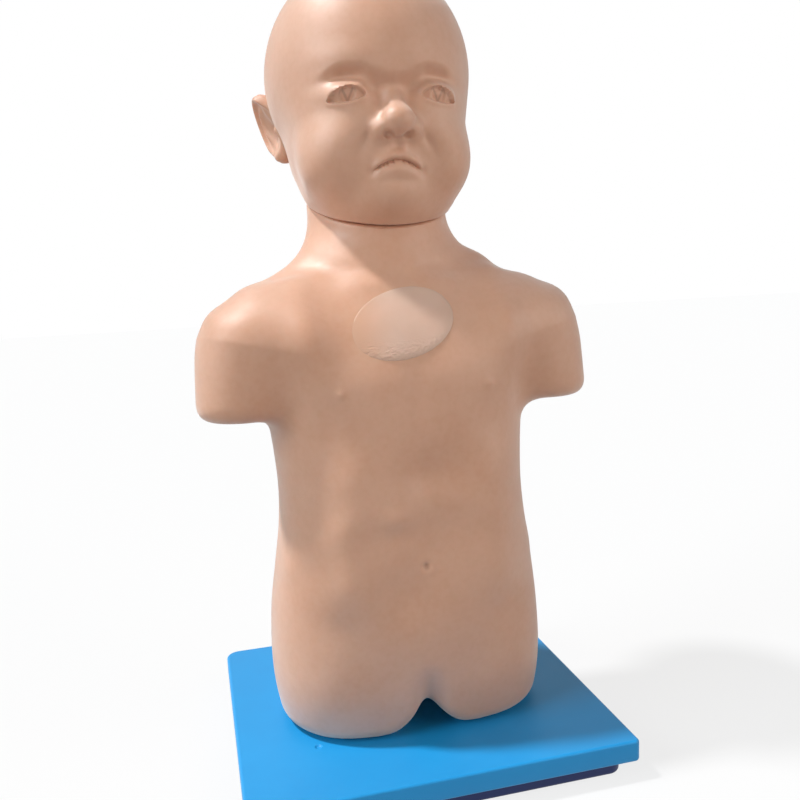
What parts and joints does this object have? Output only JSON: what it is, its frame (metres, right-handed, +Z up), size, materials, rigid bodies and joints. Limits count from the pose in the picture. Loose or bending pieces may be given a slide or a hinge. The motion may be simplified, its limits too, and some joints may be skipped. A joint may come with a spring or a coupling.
{
  "type": "abdominal paracentesis trainer",
  "caption": "Limbless child torso and turning head in soft vinyl, seated on a two-part base, with an inner fluid bladder behind the belly skin.",
  "frame": {"origin": "centre of the base's underside", "axes": "+Z up, the manikin faces -Y, +X is its left side"},
  "size_m": [0.298, 0.2625, 0.6],
  "materials": {
    "light_blue": "satin moulded plastic",
    "navy": "matt moulded plastic",
    "skin": "soft vinyl skin with a slight sheen",
    "soft_skin": "soft skin elastomer",
    "white_plastic": "moulded plastic",
    "blue_plastic": "moulded plastic",
    "silicone": "translucent silicone",
    "steel": "zinc plated"
  },
  "bodies": {
    "torso": {"base_top": "light_blue", "base_bottom": "navy", "torso_shell": "skin", "back_cover": "skin", "chest_patch": "soft_skin", "puncture_pad": "soft_skin", "cover_frame": "white_plastic", "thigh_block_left": "white_plastic", "thigh_block_right": "white_plastic", "cross_plate": "white_plastic", "bladder_cradle": "white_plastic", "neck_disc": "white_plastic", "filler_port": "white_plastic", "filler_cap": "blue_plastic", "fluid_bladder": "silicone", "fill_tube": "silicone", "pivot_bolt": "steel", "pivot_washer": "steel", "pivot_nut": "steel", "base_screw_1": "steel", "base_screw_2": "steel", "base_screw_3": "steel", "base_screw_4": "steel", "cover_screw_1": "steel", "cover_screw_2": "steel", "cover_screw_3": "steel", "cover_screw_4": "steel", "torso_bolt_1": "steel", "torso_bolt_2": "steel", "torso_bolt_3": "steel", "torso_bolt_4": "steel", "cradle_screw_1": "steel", "cradle_screw_2": "steel", "plate_screw_1": "steel", "plate_screw_2": "steel"},
    "head": {"head_shell": "skin", "head_disc": "white_plastic"}
  },
  "joints": [
    {"name": "head_turn", "type": "hinge", "parent": "torso", "child": "head", "pos_m": [0, 0.026, 0.4193], "axis": [0, -0.3584, 0.9336], "range_deg": [-75, 75]}
  ]
}
